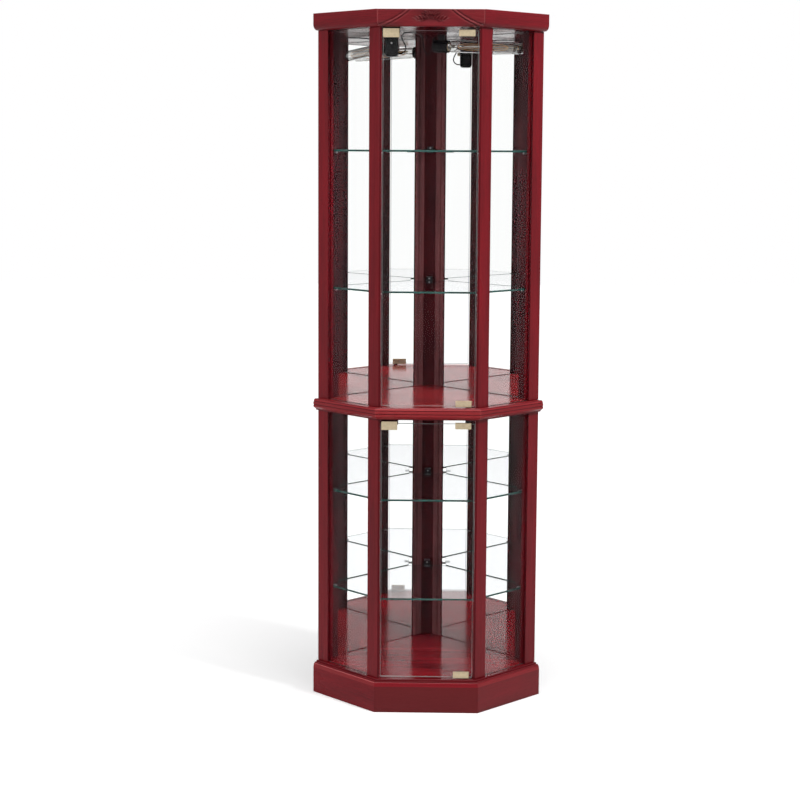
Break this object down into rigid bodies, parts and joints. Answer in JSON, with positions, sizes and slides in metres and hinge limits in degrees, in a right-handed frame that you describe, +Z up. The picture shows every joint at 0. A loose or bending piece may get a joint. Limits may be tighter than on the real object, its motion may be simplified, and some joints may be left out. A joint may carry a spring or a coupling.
{
  "type": "corner curio cabinet",
  "caption": "Tall corner display cabinet with glazed tiers, pivoting glass doors, glass shelves, mirrored wall sides, a carved crown and a lamp.",
  "frame": {"origin": "middle of the footprint's bounding box, on the floor", "axes": "+Z up, -Y out of the door front, +Y towards the room corner, +X to the right as seen from the front"},
  "size_m": [0.6078, 0.473, 1.8],
  "materials": {
    "cherry_wood": "cherry-red stained wood under satin lacquer",
    "dark_cherry_wood": "darker cherry-red stained wood under satin lacquer",
    "clear_glass": "clear polished glass",
    "shelf_glass": "clear float glass with dark green edges",
    "mirror_glass": "silvered mirror glass",
    "brass": "pale polished brass plate",
    "black_plastic": "moulded black plastic",
    "black_steel": "black enamelled steel"
  },
  "bodies": {
    "cabinet": {"plinth_front": "cherry_wood", "plinth_left": "cherry_wood", "plinth_right": "cherry_wood", "plinth_back_left": "dark_cherry_wood", "plinth_back_right": "dark_cherry_wood", "base_panel": "cherry_wood", "waist_panel": "cherry_wood", "waist_moulding_front": "cherry_wood", "waist_moulding_left": "cherry_wood", "waist_moulding_right": "cherry_wood", "ceiling_panel": "cherry_wood", "crown_front": "cherry_wood", "crown_left": "cherry_wood", "crown_right": "cherry_wood", "lower_front_post_left": "cherry_wood", "lower_front_post_right": "cherry_wood", "lower_end_post_left": "cherry_wood", "lower_end_post_right": "cherry_wood", "lower_corner_post": "dark_cherry_wood", "upper_front_post_left": "cherry_wood", "upper_front_post_right": "cherry_wood", "upper_end_post_left": "cherry_wood", "upper_end_post_right": "cherry_wood", "upper_corner_post": "dark_cherry_wood", "lower_side_glass_left": "clear_glass", "lower_side_glass_right": "clear_glass", "upper_side_glass_left": "clear_glass", "upper_side_glass_right": "clear_glass", "lower_mirror_left": "mirror_glass", "lower_mirror_right": "mirror_glass", "upper_mirror_left": "mirror_glass", "upper_mirror_right": "mirror_glass", "lower_shelf_1": "shelf_glass", "lower_shelf_2": "shelf_glass", "upper_shelf_1": "shelf_glass", "upper_shelf_2": "shelf_glass", "lower_shelf_1_clip": "black_steel", "lower_shelf_2_clip": "black_steel", "upper_shelf_1_clip": "black_steel", "upper_shelf_2_clip": "black_steel", "lower_door_top_hinge_bush": "black_plastic", "lower_door_bottom_hinge_bush": "black_plastic", "upper_door_top_hinge_bush": "black_plastic", "upper_door_bottom_hinge_bush": "black_plastic", "lower_latch_body": "black_plastic", "upper_latch_body": "black_plastic", "lamp_holder": "black_plastic", "lamp_bulb": "clear_glass", "wiring_box": "black_plastic", "lamp_wire": "black_plastic"},
    "lower_door": {"lower_door_glass": "clear_glass", "lower_door_strike": "brass", "lower_door_top_hinge_clip": "brass", "lower_door_bottom_hinge_clip": "brass"},
    "upper_door": {"upper_door_glass": "clear_glass", "upper_door_strike": "brass", "upper_door_top_hinge_clip": "brass", "upper_door_bottom_hinge_clip": "brass"},
    "lower_plunger": {"lower_latch_plunger": "black_plastic"},
    "upper_plunger": {"upper_latch_plunger": "black_plastic"}
  },
  "joints": [
    {"name": "lower_door_swing", "type": "hinge", "parent": "cabinet", "child": "lower_door", "pos_m": [0.10165, -0.215, 0.424], "axis": [0, 0, 1], "range_deg": [0, 105]},
    {"name": "upper_door_swing", "type": "hinge", "parent": "cabinet", "child": "upper_door", "pos_m": [0.10165, -0.215, 1.276], "axis": [0, 0, 1], "range_deg": [0, 105]},
    {"name": "lower_latch_push", "type": "slide", "parent": "cabinet", "child": "lower_plunger", "axis": [0, 1, 0], "range_m": [0, 0.0025], "stiffness_N_per_m": 300, "springref_m": -0.001},
    {"name": "upper_latch_push", "type": "slide", "parent": "cabinet", "child": "upper_plunger", "axis": [0, 1, 0], "range_m": [0, 0.0025], "stiffness_N_per_m": 300, "springref_m": -0.001}
  ]
}
